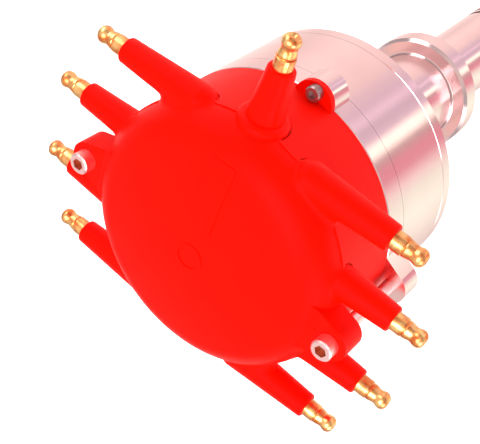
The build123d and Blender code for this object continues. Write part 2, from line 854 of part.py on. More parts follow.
def advance_cam():
    """Cam on the shaft's end: two arms for the weights, two tabs for the stop."""
    arms = Rectangle(2 * cam_half_width, 2 * cam_tip_r) & Circle(cam_tip_r)
    tabs = hull_of(Pos(slot_r, 0) * Circle(3.4), Pos(-slot_r, 0) * Circle(3.4))
    plan = arms + tabs + Circle(cam_hub_r)
    body = slab(plan, weight_z, cam_z)
    for side in (1, -1):
        body += Pos(0, side * cam_post_y) * rod(spring_post_r, cam_z, spring_z + 1.6)
    body -= rod(spindle_r, weight_z, cam_z)
    for side in (1, -1):
        body += Pos(side * slot_r, 0) * rod(1.6, plate_z - plate_thickness - 3.6, weight_z)
    return body


def stop_bushings():
    """Bushings on the stop pins, in the plate's slots."""
    bush = ring(1.6, bushing_r, plate_z - plate_thickness - 0.3, plate_z - 0.2)
    return Compound([Pos(side * slot_r, 0) * bush for side in (1, -1)])


def stop_nuts():
    nut = RegularPolygon(3.3, 6, major_radius=False) - Circle(1.6)
    foot = plate_z - plate_thickness - 3.2
    return Compound([Pos(side * slot_r, 0) * slab(nut, foot, foot + 2.6) for side in (1, -1)])


def shaft_clip():
    band = ring(spindle_r - 0.5, spindle_r + 1.8, cam_z + 0.1, cam_z + 0.8)
    return band - slab(Pos(0, -6) * Rectangle(5, 8), cam_z, cam_z + 2)


def wire_eye(x, y, angle, length):
    """Flat wire loop round a post, drawn out along an angle."""
    inner = spring_post_r + 0.35
    plan = Pos(x, y) * Rot(0, 0, angle) * Pos(length / 2, 0)
    outline = SlotCenterToCenter(length, 2 * (inner + wire_d)) - SlotCenterToCenter(length, 2 * inner)
    return slab(plan * outline, spring_z - wire_d / 2, spring_z + wire_d / 2)


def advance_spring():
    """Closed-coil spring from the cam's +Y post to the plate's post."""
    end_x = plate_post_r * cos(radians(plate_post_azimuth))
    end_y = plate_post_r * sin(radians(plate_post_azimuth))
    run = hypot(end_x, end_y - cam_post_y)
    lean = degrees(atan2(end_y - cam_post_y, end_x))
    travel = cam_post_y * radians(advance_limit) + 0.2
    margin = spring_post_r + 0.35 + wire_d / 2
    coils = int((run - 2 * margin) / wire_d)
    start = (run - coils * wire_d) / 2
    edge = [Line((start, 0), (start, spring_r - wire_d / 2))]
    for i in range(coils):
        x = start + i * wire_d
        low = spring_r - wire_d / 2
        edge.append(ThreePointArc((x, low), (x + wire_d / 2, spring_r), (x + wire_d, low)))
    last = start + coils * wire_d
    edge += [Line((last, spring_r - wire_d / 2), (last, 0)), Line((last, 0), (start, 0))]
    barrel = revolve(make_face(edge), Axis.X)
    core = Pos(run / 2, 0, 0) * Rot(0, 90, 0) * Cylinder(spring_r - wire_d, run)
    barrel -= core
    place = Pos(0, cam_post_y, spring_z) * Rot(0, 0, lean)
    near = wire_eye(0, cam_post_y, 180 + lean / 2, travel)
    far = wire_eye(end_x, end_y, lean, 0.01)
    tails = Pos(0, cam_post_y) * Rot(0, 0, lean) * tail_bars(run, start, last, margin)
    return place * barrel + near + far + tails


def tail_bars(run, start, last, margin):
    """Straight wire ends that join the loops to the first and last coil."""
    bar = 2 * spring_r - 0.4
    z0, z1 = spring_z - wire_d / 2, spring_z + wire_d / 2
    near = slab(Pos((margin + start + 1) / 2, 0) * Rectangle(start + 1 - margin, bar), z0, z1)
    far_x = (last - 1 + run - margin) / 2
    far = slab(Pos(far_x, 0) * Rectangle(run - margin - last + 1, bar), z0, z1)
    return near + far


# ---------------------------------------------------------------- trigger


def reluctor():
    """Eight-toothed trigger wheel on the advance sleeve."""
    z0 = floor_z + reluctor_foot
    tooth_length = reluctor_tip_r - reluctor_hub_r
    tooth = Pos(reluctor_hub_r + tooth_length / 2, 0) * Rectangle(tooth_length, tooth_width)
    plan = Circle(reluctor_root_r)
    for i in range(tooth_count):
        plan += Rot(0, 0, 360 / tooth_count * (i + 0.5)) * tooth
    plan = plan & Circle(reluctor_tip_r)
    wheel = slab(plan, z0, z0 + reluctor_height) + rod(reluctor_hub_r, z0 - 2, z0 + reluctor_height)
    return wheel - rod(sleeve_r, z0 - 2, z0 + reluctor_height)




def pickup_heights():
    middle = floor_z + reluctor_foot + reluctor_height / 2
    return middle, floor_z + pickup_plate_thickness


def pole_start():
    return reluctor_tip_r + air_gap


def pickup_plate():
    """Sheet plate on the bowl's floor with an upright tab behind the magnet."""
    middle, top = pickup_heights()
    plan = Circle(pickup_plate_r) - Circle(pickup_plate_hole_r)
    plan = plan & Pos(0, pickup_plate_r * 0.55) * Rectangle(2 * pickup_plate_r, 1.2 * pickup_plate_r)
    body = slab(plan, floor_z, top)
    tab_y = pole_start() + 2 + coil_length + magnet_length
    tab = Pos(0, tab_y + 0.8) * Rectangle(2 * magnet_half, 1.6)
    body += slab(tab, floor_z, middle + magnet_half)
    foot = Pos(0, (tab_y - magnet_length + pickup_plate_hole_r) / 2) * Rectangle(8, tab_y - magnet_length - pickup_plate_hole_r)
    for azimuth in pickup_screw_azimuths:
        body -= at(pickup_screw_pitch_r, azimuth) * rod(rotor_screw_r + hole_gap, floor_z, top)
    return body


def pickup_pole():
    """Soft-iron pole from the air gap through the coil to the magnet."""
    middle, top = pickup_heights()
    length = 2 + coil_length
    plan = Pos(0, pole_start() + length / 2) * Rectangle(2 * pole_half, length)
    return slab(plan, middle - pole_half, middle + pole_half)


def pickup_coil():
    """Wound bobbin with two flanges."""
    middle, top = pickup_heights()
    face = [Circle(coil_r), Circle(coil_r - 1.2), Circle(coil_r)]
    spans = [1.2, coil_length - 2.4, 1.2]
    y = pole_start() + 2
    body = None
    for outline, span in zip(face, spans):
        piece = Pos(0, y, middle) * Rot(-90, 0, 0) * extrude(outline, span)
        body = piece if body is None else body + piece
        y += span
    return body - pickup_pole()


def pickup_magnet():
    middle, top = pickup_heights()
    y0 = pole_start() + 2 + coil_length
    plan = Pos(0, y0 + magnet_length / 2) * Rectangle(2 * magnet_half, magnet_length)
    return slab(plan, middle - magnet_half, middle + magnet_half)


def pickup_screws():
    middle, top = pickup_heights()
    head = rod(2.9, top, top + 2.0)
    head = fillet(head.edges().group_by(Axis.Z)[-1], 0.8)
    screw = head - slab(Rectangle(7, 0.8), top + 1.1, top + 2.1) + rod(rotor_screw_r, floor_z - 5, top)
    return Compound([at(pickup_screw_pitch_r, azimuth) * screw for azimuth in pickup_screw_azimuths])


# ---------------------------------------------------------------- shaft and gear


def main_shaft():
    """Steel shaft with its spindle at the top and the pump slot in its foot."""
    tip_z = cam_z + 1.6
    body = turned(
        [
            (0, shaft_foot_z),
            (shaft_r, shaft_foot_z),
            (shaft_r, shoulder_z),
            (spindle_r, shoulder_z),
            (spindle_r, tip_z),
            (0, tip_z),
        ],
        bevels=[(shaft_r, shaft_foot_z, 0.8), (spindle_r, tip_z, 0.5)],
    )
    body -= ring(spindle_r - 0.5, spindle_r + 1, cam_z + 0.1, cam_z + 0.8)
    body -= slab(Rectangle(drive_slot_width, 4 * shaft_r), shaft_foot_z, shaft_foot_z + drive_slot_depth)
    return body - gear_pin()


def gear_outline():
    """Cross-section of the gear: flanks as straight tapers, tips and roots as arcs."""
    pitch = 360 / gear_teeth
    edges = []
    for i in range(gear_teeth):
        a = pitch * i
        root = CenterArc((0, 0), gear_root_r, a - 0.26 * pitch, 0.30 * pitch)
        tip = CenterArc((0, 0), gear_tip_r, a + 0.29 * pitch, 0.20 * pitch)
        following = CenterArc((0, 0), gear_root_r, a + 0.74 * pitch, 0.30 * pitch)
        edges += [root, Line(root @ 1, tip @ 0), tip, Line(tip @ 1, following @ 0)]
    return make_face(edges)


def drive_gear():
    """Helical gear with its pinned hub on top."""
    blank = gear_outline().faces()[0]
    centre = Vector(0, 0, gear_foot_z)
    section = Pos(0, 0, gear_foot_z) * blank
    teeth = Solid.extrude_linear_with_rotation(section, centre, Vector(0, 0, gear_length), gear_twist)
    hub = rod(hub_r, gear_foot_z + gear_length - 1, gear_top_z)
    hub = chamfer(hub.edges().group_by(Axis.Z)[-1], 0.8)
    body = Part() + teeth + hub
    body -= rod(shaft_r, gear_foot_z, gear_top_z)
    return body - gear_pin()


def gear_pin():
    """Spring pin across the gear's hub and the shaft."""
    z = gear_top_z - hub_length / 2
    return Pos(0, 0, z) * Rot(0, 90, 0) * Cylinder(gear_pin_r, 2 * hub_r - 0.6)


def thrust_washers():
    washers = []
    for i in range(washer_count):
        top = stem_foot_z - running_gap - i * (washer_thickness + running_gap)
        washers.append(ring(shaft_r + running_gap, foot_r - 1.2, top - washer_thickness, top))
    return Compound(washers)


# ---------------------------------------------------------------- export

nodes = {
    "housing": housing(),
    "upper_o_ring": seal(seal_heights()[0]),
    "lower_o_ring": seal(seal_heights()[1]),
    "wire_grommet": wire_grommet(),
    "lower_bushing": lower_bushing(),
    "bearing_outer_race": bearing_outer_race(),
    "bearing_inner_race": bearing_inner_race(),
    "bearing_balls": bearing_balls(),
    "bearing_cage": bearing_cage(),
    "bearing_ring": bearing_ring(),
    "cap_base": cap_base(),
    "base_screws": base_screws(),
    "cap_crown": cap_crown(),
    "cap_screws": cap_screws(),
    "coil_terminal": coil_terminal(),
    "carbon_button": carbon_button(),
    "contact_spring": contact_spring(),
    "rotor": rotor(),
    "rotor_blade": rotor_blade(),
    "rotor_screws": rotor_screws(),
    "advance_plate": advance_plate(),
    "weight_pins": weight_pins(),
    "weight_clips": weight_clips(),
    "advance_weight_a": advance_weight(0),
    "advance_weight_b": advance_weight(180),
    "advance_cam": advance_cam(),
    "stop_bushings": stop_bushings(),
    "stop_nuts": stop_nuts(),
    "shaft_clip": shaft_clip(),
    "advance_spring_a": advance_spring(),
    "advance_spring_b": Rot(0, 0, 180) * advance_spring(),
    "reluctor": reluctor(),
    "pickup_plate": pickup_plate(),
    "pickup_pole": pickup_pole(),
    "pickup_coil": pickup_coil(),
    "pickup_magnet": pickup_magnet(),
    "pickup_screws": pickup_screws(),
    "main_shaft": main_shaft(),
    "drive_gear": drive_gear(),
    "gear_pin": gear_pin(),
    "thrust_washers": thrust_washers(),
}
for number, azimuth in enumerate(corner_azimuths(), start=1):
    nodes[f"plug_terminal_{number}"] = terminal_body(azimuth)

os.makedirs("parts", exist_ok=True)
for name, shape in nodes.items():
    export_step(shape, f"parts/{name}.step")
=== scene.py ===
# %% [markdown]
# # Dressing an ignition distributor
# The machined and moulded shapes come from CAD and stay exactly where they are. This lesson
# gives each part the finish it has in real life, sets the camera, and lights a small product
# studio round it.

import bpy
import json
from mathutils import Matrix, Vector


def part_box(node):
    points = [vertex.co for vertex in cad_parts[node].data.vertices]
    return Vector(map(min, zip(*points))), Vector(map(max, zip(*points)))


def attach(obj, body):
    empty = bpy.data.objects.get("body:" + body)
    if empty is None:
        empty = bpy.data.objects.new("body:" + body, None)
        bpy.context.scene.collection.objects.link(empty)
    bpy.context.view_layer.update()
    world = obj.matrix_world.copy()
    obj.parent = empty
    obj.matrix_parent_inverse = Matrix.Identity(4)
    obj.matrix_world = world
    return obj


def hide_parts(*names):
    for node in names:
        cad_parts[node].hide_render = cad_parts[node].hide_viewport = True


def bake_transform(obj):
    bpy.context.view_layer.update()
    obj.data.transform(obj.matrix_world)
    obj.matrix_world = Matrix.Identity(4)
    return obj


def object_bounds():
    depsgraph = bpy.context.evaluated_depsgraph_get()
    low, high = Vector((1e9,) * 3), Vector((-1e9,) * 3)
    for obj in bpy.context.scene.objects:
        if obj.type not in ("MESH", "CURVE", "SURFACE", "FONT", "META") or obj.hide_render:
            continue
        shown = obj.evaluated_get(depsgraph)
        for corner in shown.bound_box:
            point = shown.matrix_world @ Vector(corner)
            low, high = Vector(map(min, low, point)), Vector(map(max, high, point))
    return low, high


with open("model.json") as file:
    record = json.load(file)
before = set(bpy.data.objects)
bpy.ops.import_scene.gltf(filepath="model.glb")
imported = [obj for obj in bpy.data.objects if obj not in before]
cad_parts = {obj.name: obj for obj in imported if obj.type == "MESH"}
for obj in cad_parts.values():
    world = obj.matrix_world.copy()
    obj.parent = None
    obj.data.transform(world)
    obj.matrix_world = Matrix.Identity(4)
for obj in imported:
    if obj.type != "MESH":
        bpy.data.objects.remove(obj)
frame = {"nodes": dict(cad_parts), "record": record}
cad_low, cad_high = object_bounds()
print("CAD box", [round(v, 4) for v in (*cad_low, *cad_high)])

# %% [markdown]
# Blender's own modules come next. `nodes` holds one object per CAD part, keyed by name, so a
# finish is given by naming the part. Lengths are metres, and one constant keeps the
# millimetres that a machinist would quote readable.

# %% Modules and names
import json
import math

import bpy
from mathutils import Matrix, Vector

nodes = frame["nodes"]
scene = bpy.context.scene
mm = 0.001
print(len(nodes), "parts to dress")

# %% [markdown]
# ## Colours
# A paint chart gives colours as sRGB hex. Blender's shaders work in linear light, so one
# function does that conversion for every colour in the file.

# %% One function for every colour
def colour(hex_code):
    parts = [int(hex_code[i : i + 2], 16) / 255 for i in (0, 2, 4)]
    linear = [v / 12.92 if v <= 0.04045 else ((v + 0.055) / 1.055) ** 2.4 for v in parts]
    return (*linear, 1.0)


print("half grey on the chart is", round(colour("808080")[0], 3), "in linear light")

# %% [markdown]
# ## A helper for node trees
# Every finish is a small graph of nodes. This one function adds a node of any kind, sets its
# fields and sockets, and links its inputs, so a finish reads as a short list of steps.

# %% Add a node with its settings and links
def add(material, kind, fields={}, sockets={}, links={}):
    node = material.node_tree.nodes.new("ShaderNode" + kind)
    for name, value in fields.items():
        setattr(node, name, value)
    for name, value in sockets.items():
        node.inputs[name].default_value = value
    for name, source in links.items():
        material.node_tree.links.new(source, node.inputs[name])
    return node


print("helper for node trees ready")

# %% [markdown]
# A new finish starts as an empty node tree. Its cell then adds the pattern nodes one after
# another, and last the shader, which takes constants such as metalness on its own sockets and
# the patterns through links.

# %% Start a finish
def empty_finish(name):
    material = bpy.data.materials.new(name)
    material.use_nodes = True
    material.node_tree.nodes.clear()
    return material


print("finishes start empty")

# %% [markdown]
# ## Turned aluminium
# The body, neck, collar and stem are one billet of 6061 aluminium, turned bright and left
# bare. A turned part carries fine grooves that run round its axis. On its walls they change
# with height, and on its flat faces with the distance from the axis, so a noise that reads
# only those two numbers draws rings everywhere, as the tool did. They are drawn 0.6 mm apart,
# several times the real feed, so that they show at all.

# %% Grooves of the lathe
aluminium = empty_finish("turned_aluminium")
place = add(aluminium, "TexCoord").outputs["Object"]
flat = add(aluminium, "VectorMath", {"operation": "MULTIPLY"}, {1: (1, 1, 0)}, {0: place})
radius = add(aluminium, "VectorMath", {"operation": "LENGTH"}, links={0: flat.outputs[0]})
height = add(aluminium, "SeparateXYZ", links={0: place})
turn = add(aluminium, "CombineXYZ", links={"X": radius.outputs["Value"], "Z": height.outputs["Z"]})
groove_pitch = 0.6 * mm
groove = add(aluminium, "TexNoise", {}, {"Scale": 1 / groove_pitch, "Detail": 3.0, "Roughness": 0.6},
             {"Vector": turn.outputs[0]})
print("grooves", len(aluminium.node_tree.nodes), "nodes")

# %% [markdown]
# The grooves scatter light along the axis, so a lamp is smeared into a long straight band.
# That is anisotropy: the tangent runs round the axis, and the shine is turned by a quarter.
# Broad smudges of handling, some 20 mm across, warm the metal a little and dull it. The lugs
# were milled after turning, and the cutter left a fine line round the body at their foot.

# %% Shine of the lathe
cut_z = 110 * mm
cut_half_width = 0.13 * mm
smudges_per_mm = 0.045
handled = add(aluminium, "TexNoise", {}, {"Scale": smudges_per_mm / mm, "Detail": 3.0}, {"Vector": place})
tone = add(aluminium, "Mix", {"data_type": "RGBA"}, {6: colour("F3D8DA"), 7: colour("EBCBCC")},
           {0: handled.outputs["Fac"]})
grooved = add(aluminium, "Math", {"operation": "MULTIPLY"}, {1: 0.5}, {0: groove.outputs["Fac"]})
dull = add(aluminium, "Math", {"operation": "MULTIPLY_ADD"}, {1: 0.2},
           {0: handled.outputs["Fac"], 2: grooved.outputs[0]})
rough = add(aluminium, "MapRange", {}, {"From Max": 0.7, "To Min": 0.08, "To Max": 0.3},
            {"Value": dull.outputs[0]})
step = add(aluminium, "Math", {"operation": "COMPARE"}, {1: cut_z, 2: cut_half_width},
           {0: height.outputs["Z"]})
tone = add(aluminium, "Mix", {"data_type": "RGBA"}, {7: colour("B79CA4")},
           {0: step.outputs[0], 6: tone.outputs[2]})
bump = add(aluminium, "Bump", {}, {"Distance": 0.004 * mm}, {"Height": groove.outputs["Fac"]})
tangent = add(aluminium, "Tangent", {"direction_type": "RADIAL", "axis": "Z"})
shine = add(aluminium, "BsdfPrincipled", {},
            {"Metallic": 1.0, "Anisotropic": 0.7, "Anisotropic Rotation": 0.25},
            {"Base Color": tone.outputs[2], "Roughness": rough.outputs[0], "Normal": bump.outputs[0],
             "Tangent": tangent.outputs[0]})
add(aluminium, "OutputMaterial", links={"Surface": shine.outputs["BSDF"]})
print("aluminium", len(aluminium.node_tree.nodes), "nodes")

# %% [markdown]
# ## Red moulded cap
# Caps are compression-moulded in glass-filled polyester, and the rotor inside is moulded in the
# same red. The tool is polished to a satin, so the skin has a soft, weak gloss, a very fine
# eggshell texture, and faint flow marks where the resin met. The texture is a 0.5 mm noise and
# the flow marks are about 15 mm across. The pigment is a pure, deep red that returns almost no
# green or blue.

# %% Moulded red polyester
flow_marks_per_mm = 0.065
skin_grain = 0.5 * mm
polyester = empty_finish("moulded_red_polyester")
place = add(polyester, "TexCoord").outputs["Object"]
flow = add(polyester, "TexNoise", {}, {"Scale": flow_marks_per_mm / mm, "Detail": 2.0, "Distortion": 0.6},
           {"Vector": place})
skin = add(polyester, "TexNoise", {}, {"Scale": 1 / skin_grain, "Detail": 2.0}, {"Vector": place})
tone = add(polyester, "Mix", {"data_type": "RGBA"}, {6: colour("F40F00"), 7: colour("EA0B00")},
           {0: flow.outputs["Fac"]})
rough = add(polyester, "MapRange", {}, {"To Min": 0.34, "To Max": 0.5}, {"Value": flow.outputs["Fac"]})
bump = add(polyester, "Bump", {}, {"Distance": 0.01 * mm}, {"Height": skin.outputs["Fac"]})
gloss = add(polyester, "BsdfPrincipled", {},
            {"IOR": 1.5, "Specular IOR Level": 0.06, "Specular Tint": colour("FF86A8")},
            {"Base Color": tone.outputs[2], "Roughness": rough.outputs[0], "Normal": bump.outputs[0]})
add(polyester, "OutputMaterial", links={"Surface": gloss.outputs["BSDF"]})
print("polyester", len(polyester.node_tree.nodes), "nodes")

# %% [markdown]
# ## Brass terminals
# The clip-on studs are turned from brass bar and left bright. Rings run round each stud's own axis, so the
# noise reads only the coordinate along it: X for the plug leads, Y for the coil lead. A second noise mixes
# two tones in patches some 3 mm across: a pale cream that is a painted highlight and a deep orange that is
# a painted reflection of the red cap.

# %% Turned brass
rings_per_mm = 2.2
reflection_patches_per_mm = 0.35


def turned_brass(name, along):
    brass = empty_finish(name)
    place = add(brass, "TexCoord").outputs["Object"]
    line = add(brass, "VectorMath", {"operation": "MULTIPLY"}, {1: along}, {0: place})
    turned = add(brass, "TexNoise", {}, {"Scale": rings_per_mm / mm, "Detail": 2.0},
                 {"Vector": line.outputs[0]})
    # Patches some 3 mm across of painted highlight and of painted reflection of the red cap.
    reflection_patch_noise = add(brass, "TexNoise", {}, {"Scale": reflection_patches_per_mm / mm, "Detail": 3.0}, {"Vector": place})
    reflection_patch_mask = add(brass, "MapRange", {}, {"From Min": 0.35, "From Max": 0.65},
                {"Value": reflection_patch_noise.outputs["Fac"]})
    # Pale cream is a painted highlight, deep orange a painted reflection of the red cap.
    tone = add(brass, "Mix", {"data_type": "RGBA"}, {6: colour("FFD28C"), 7: colour("E88048")},
               {0: reflection_patch_mask.outputs["Result"]})
    rough = add(brass, "MapRange", {}, {"To Min": 0.2, "To Max": 0.38},
                {"Value": turned.outputs["Fac"]})
    bump = add(brass, "Bump", {}, {"Distance": 0.01 * mm}, {"Height": turned.outputs["Fac"]})
    shine = add(brass, "BsdfPrincipled", {}, {"Metallic": 1.0},
                {"Base Color": tone.outputs[2], "Roughness": rough.outputs[0], "Normal": bump.outputs[0]})
    add(brass, "OutputMaterial", links={"Surface": shine.outputs["BSDF"]})
    return brass


plug_brass = turned_brass("turned_brass_along_x", (1, 0, 0))
coil_brass = turned_brass("turned_brass_along_y", (0, 1, 0))
print("brass for the plug leads and for the coil lead")

# %% [markdown]
# ## Steels, bronze and nickel
# These metals differ in colour and in how their surface was made, and one recipe serves them all: a grain
# of a stated size, two tones in broad patches, and a range of roughness. The base ring's screws are dull,
# and they are painted a darker, pinkish brown: painted shade where they sit by the lugs, and a painted
# reflection of the red cap. Races are ground, so they are the smoothest. The gear is oiled black.
# Stampings are zinc plated, which is yellowish and cloudy. Drawn wire is bright. Sintered bronze is
# porous, so it is dull with deep grain. The magnet is nickel plated, a warm and even shine.

# %% One recipe for plain metals
patches_per_mm = 0.12


def plain_metal(name, light, dark, grain, rough_low, rough_high, depth=0.006 * mm):
    metal = empty_finish(name)
    place = add(metal, "TexCoord").outputs["Object"]
    fine = add(metal, "TexNoise", {}, {"Scale": 1 / grain, "Detail": 3.0}, {"Vector": place})
    broad = add(metal, "TexNoise", {}, {"Scale": patches_per_mm / mm, "Detail": 3.0}, {"Vector": place})
    tone = add(metal, "Mix", {"data_type": "RGBA"}, {6: colour(light), 7: colour(dark)},
               {0: broad.outputs["Fac"]})
    rough = add(metal, "MapRange", {}, {"To Min": rough_low, "To Max": rough_high},
                {"Value": fine.outputs["Fac"]})
    bump = add(metal, "Bump", {}, {"Distance": depth}, {"Height": fine.outputs["Fac"]})
    shine = add(metal, "BsdfPrincipled", {}, {"Metallic": 1.0},
                {"Base Color": tone.outputs[2], "Roughness": rough.outputs[0], "Normal": bump.outputs[0]})
    add(metal, "OutputMaterial", links={"Surface": shine.outputs["BSDF"]})
    return metal


# The base ring's screws: darker pinkish brown, painted shade and a painted reflection of the red cap.
shaded_lug_screws = plain_metal("lug_screws_dark_with_painted_shade", "B49C9C", "8A7274", 0.9 * mm, 0.3, 0.45, 0.002 * mm)
bearing_steel = plain_metal("ground_bearing_steel", "D6D6DA", "C2C2C8", 0.3 * mm, 0.08, 0.18)
gear_steel = plain_metal("oiled_black_gear_steel", "5E5A58", "3A3838", 0.6 * mm, 0.28, 0.45)
zinc_steel = plain_metal("zinc_plated_steel", "CFCBB8", "B3B0A4", 0.9 * mm, 0.25, 0.42)
wire_steel = plain_metal("drawn_spring_wire", "BFC0C4", "9FA0A6", 0.25 * mm, 0.18, 0.3)
bush_bronze = plain_metal("sintered_bronze", "B8843F", "8C6230", 0.35 * mm, 0.35, 0.55, 0.02 * mm)
magnet_nickel = plain_metal("nickel_plated_magnet", "B9B6AE", "9A978F", 0.7 * mm, 0.15, 0.3)
print("seven plain metals")

# %% [markdown]
# ## Cap screws
# The two cap screws are cold-headed alloy steel. The head's pale tones are tinted pink, a painted
# reflection of the red cap around it, and the hexagon socket is painted a darker brown, a painted shade,
# so it reads as a hole. The socket is found by its distance from the screw's axis and by its depth below
# the head's face. The small screws and nuts inside share this steel, and stay clear of that region.

# %% Find the socket for its painted shade
screw_pitch = 54 * mm
socket_share = 0.64
# Depth and reach of the socket's painted shade below the head's face.
socket_shade_middle, socket_shade_reach = 1.5 * mm, 1.45 * mm
screw_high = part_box("cap_screws")[1]
face_z = screw_high[2]
head_r = screw_high[0] - screw_pitch
socket_steel = empty_finish("cold_headed_steel_with_painted_socket_shade")
place = add(socket_steel, "TexCoord").outputs["Object"]
axes = add(socket_steel, "SeparateXYZ", links={"Vector": place})
side = add(socket_steel, "Math", {"operation": "ABSOLUTE"}, {}, {0: axes.outputs["X"]})
off = add(socket_steel, "Math", {"operation": "SUBTRACT"}, {1: screw_pitch}, {0: side.outputs[0]})
flat = add(socket_steel, "CombineXYZ", links={"X": off.outputs[0], "Y": axes.outputs["Y"]})
far = add(socket_steel, "VectorMath", {"operation": "LENGTH"}, {}, {0: flat.outputs[0]})
within = add(socket_steel, "Math", {"operation": "LESS_THAN"}, {1: socket_share * head_r},
             {0: far.outputs["Value"]})
deep = add(socket_steel, "Math", {"operation": "COMPARE"}, {1: face_z - socket_shade_middle, 2: socket_shade_reach},
           {0: axes.outputs["Z"]})
# Mask for the socket's painted shade.
socket_shade_mask = add(socket_steel, "Math", {"operation": "MULTIPLY"}, {},
            {0: within.outputs[0], 1: deep.outputs[0]})
print("socket head of radius", round(head_r / mm, 2), "mm")

# %% [markdown]
# The head itself is two pale pink tones, a painted reflection of the red cap, mixed by a grain of about a
# millimetre, and the painted shade is laid over them in the socket.

# %% Steel head
grains_per_mm = 0.9
fine = add(socket_steel, "TexNoise", {}, {"Scale": grains_per_mm / mm, "Detail": 3.0}, {"Vector": place})
# Pale pink tones: a painted reflection of the red cap on the head.
pink_head_tones = add(socket_steel, "Mix", {"data_type": "RGBA"}, {6: colour("FFE2E0"), 7: colour("FFC4C8")},
            {0: fine.outputs["Fac"]})
# Darker brown in the socket: painted shade in the recess.
tone = add(socket_steel, "Mix", {"data_type": "RGBA"}, {7: colour("D08A70")},
           {0: socket_shade_mask.outputs[0], 6: pink_head_tones.outputs[2]})
rough = add(socket_steel, "MapRange", {}, {"To Min": 0.3, "To Max": 0.42},
            {"Value": fine.outputs["Fac"]})
shine = add(socket_steel, "BsdfPrincipled", {}, {"Metallic": 1.0},
            {"Base Color": tone.outputs[2], "Roughness": rough.outputs[0]})
add(socket_steel, "OutputMaterial", links={"Surface": shine.outputs["BSDF"]})
print("cap screw steel", len(socket_steel.node_tree.nodes), "nodes")

# %% [markdown]
# ## Rubber, plastic and carbon
# The seals and the lead grommet are nitrile rubber, dull and slightly bloomed. The bobbin of the
# pickup's coil is glass-filled nylon with a dry sheen. The centre brush is pressed carbon,
# grainy and grey.

# %% One recipe for dark parts that are not metal
def plain_matt(name, light, dark, grain, rough_low, rough_high, depth):
    matt = empty_finish(name)
    place = add(matt, "TexCoord").outputs["Object"]
    fine = add(matt, "TexNoise", {}, {"Scale": 1 / grain, "Detail": 4.0}, {"Vector": place})
    tone = add(matt, "Mix", {"data_type": "RGBA"}, {6: colour(light), 7: colour(dark)},
               {0: fine.outputs["Fac"]})
    rough = add(matt, "MapRange", {}, {"To Min": rough_low, "To Max": rough_high},
                {"Value": fine.outputs["Fac"]})
    bump = add(matt, "Bump", {}, {"Distance": depth}, {"Height": fine.outputs["Fac"]})
    skin = add(matt, "BsdfPrincipled", {}, {"IOR": 1.5},
               {"Base Color": tone.outputs[2], "Roughness": rough.outputs[0], "Normal": bump.outputs[0]})
    add(matt, "OutputMaterial", links={"Surface": skin.outputs["BSDF"]})
    return matt


nitrile = plain_matt("moulded_nitrile_rubber", "2A2A2B", "161616", 0.8 * mm, 0.55, 0.75, 0.02 * mm)
nylon = plain_matt("glass_filled_nylon", "232324", "141415", 0.5 * mm, 0.38, 0.55, 0.015 * mm)
carbon = plain_matt("pressed_carbon", "3A3A3C", "1E1E20", 0.3 * mm, 0.5, 0.7, 0.02 * mm)
print("rubber, nylon and carbon")

# %% [markdown]
# ## Which part gets which finish
# The imported record gives each part a material slot. A table from slot to finish dresses all of them in
# one loop. Two parts then differ from their slot: the coil terminal gets the brass whose rings run along
# Y, and the base ring's screws get the duller steel with painted shade.

# %% Dress every part
finishes = {
    "bare_aluminium": aluminium, "red_moulding": polyester, "brass": plug_brass,
    "bronze": bush_bronze, "screw_steel": socket_steel, "bearing_steel": bearing_steel,
    "dark_steel": gear_steel, "plated_steel": zinc_steel, "spring_steel": wire_steel,
    "black_rubber": nitrile, "black_plastic": nylon, "carbon": carbon, "magnet": magnet_nickel,
}
for part in frame["record"]["subparts"]:
    for slot in nodes[part["node"]].material_slots:
        slot.material = finishes[part["material_slot"]]
for name, finish in (("coil_terminal", coil_brass), ("base_screws", shaded_lug_screws)):
    for slot in nodes[name].material_slots:
        slot.material = finish

# %% [markdown]
# ## Studs of the leads
# A clip-on stud is turned in one piece with its lead: a cylindrical land against the tower, a
# narrow parting groove, a shallow waist that the clip springs into, a round bulb, and a flat
# end with a centre-drilled dimple. CAD has it in a plainer form, so the stud is drawn again
# here. A copy of the lead loses everything outside the tower, and the open ring that is left
# is extruded along the axis and scaled at each step, as a lathe hand would read the drawing.
# Each step is a distance from the tower's mouth and a radius, in millimetres.

# %% Profile of the stud
seat_depth = 1.2
lead_radius = 2.9
stud_steps = [
    (0.0, 2.9), (0.0, 3.27), (0.1, 3.37), (4.1, 3.37), (4.2, 3.27), (4.24, 2.92), (4.5, 2.92),
    (4.54, 3.1), (5.2, 3.08), (5.9, 2.97), (6.6, 2.8), (7.2, 2.7), (7.7, 2.72), (8.2, 2.86),
    (8.7, 3.03), (9.2, 3.15), (9.7, 3.175), (10.2, 3.1), (10.7, 2.9), (11.15, 2.58), (11.5, 2.2),
    (11.72, 1.9), (11.8, 1.7), (11.8, 1.2), (11.2, 1.05), (10.9, 0.5),
]
print("stud in", len(stud_steps), "steps,", stud_steps[-4][0], "mm long")

# %% [markdown]
# A transform in edit mode acts on what is selected. Everything outside the foot of the tower's
# seat is selected by its place along the lead's axis and deleted, so that the only open edge is
# the ring at the foot.

# %% Copy a lead and take its stud off
def lead_without_stud(name, axis, foot):
    lead = bpy.data.objects.new(name + "_turned", nodes[name].data.copy())
    scene.collection.objects.link(lead)
    bpy.ops.object.select_all(action="DESELECT")
    bpy.context.view_layer.objects.active = lead
    lead.select_set(True)
    bpy.ops.object.mode_set(mode="EDIT")
    bpy.ops.mesh.select_all(action="SELECT")
    bpy.ops.mesh.remove_doubles(threshold=1e-6)
    bpy.ops.mesh.select_all(action="DESELECT")
    bpy.ops.object.mode_set(mode="OBJECT")
    for vertex in lead.data.vertices:
        vertex.select = vertex.co.dot(axis) > foot + 0.1 * mm
    bpy.ops.object.mode_set(mode="EDIT")
    bpy.ops.mesh.delete(type="VERT")
    return lead


print("seat foot", seat_depth, "mm inside the tower's mouth")

# %% [markdown]
# Selecting non-manifold edges picks that open ring. Extruding leaves the new ring selected,
# ready to be scaled about the lead's axis for the next step. The end is closed with one face.

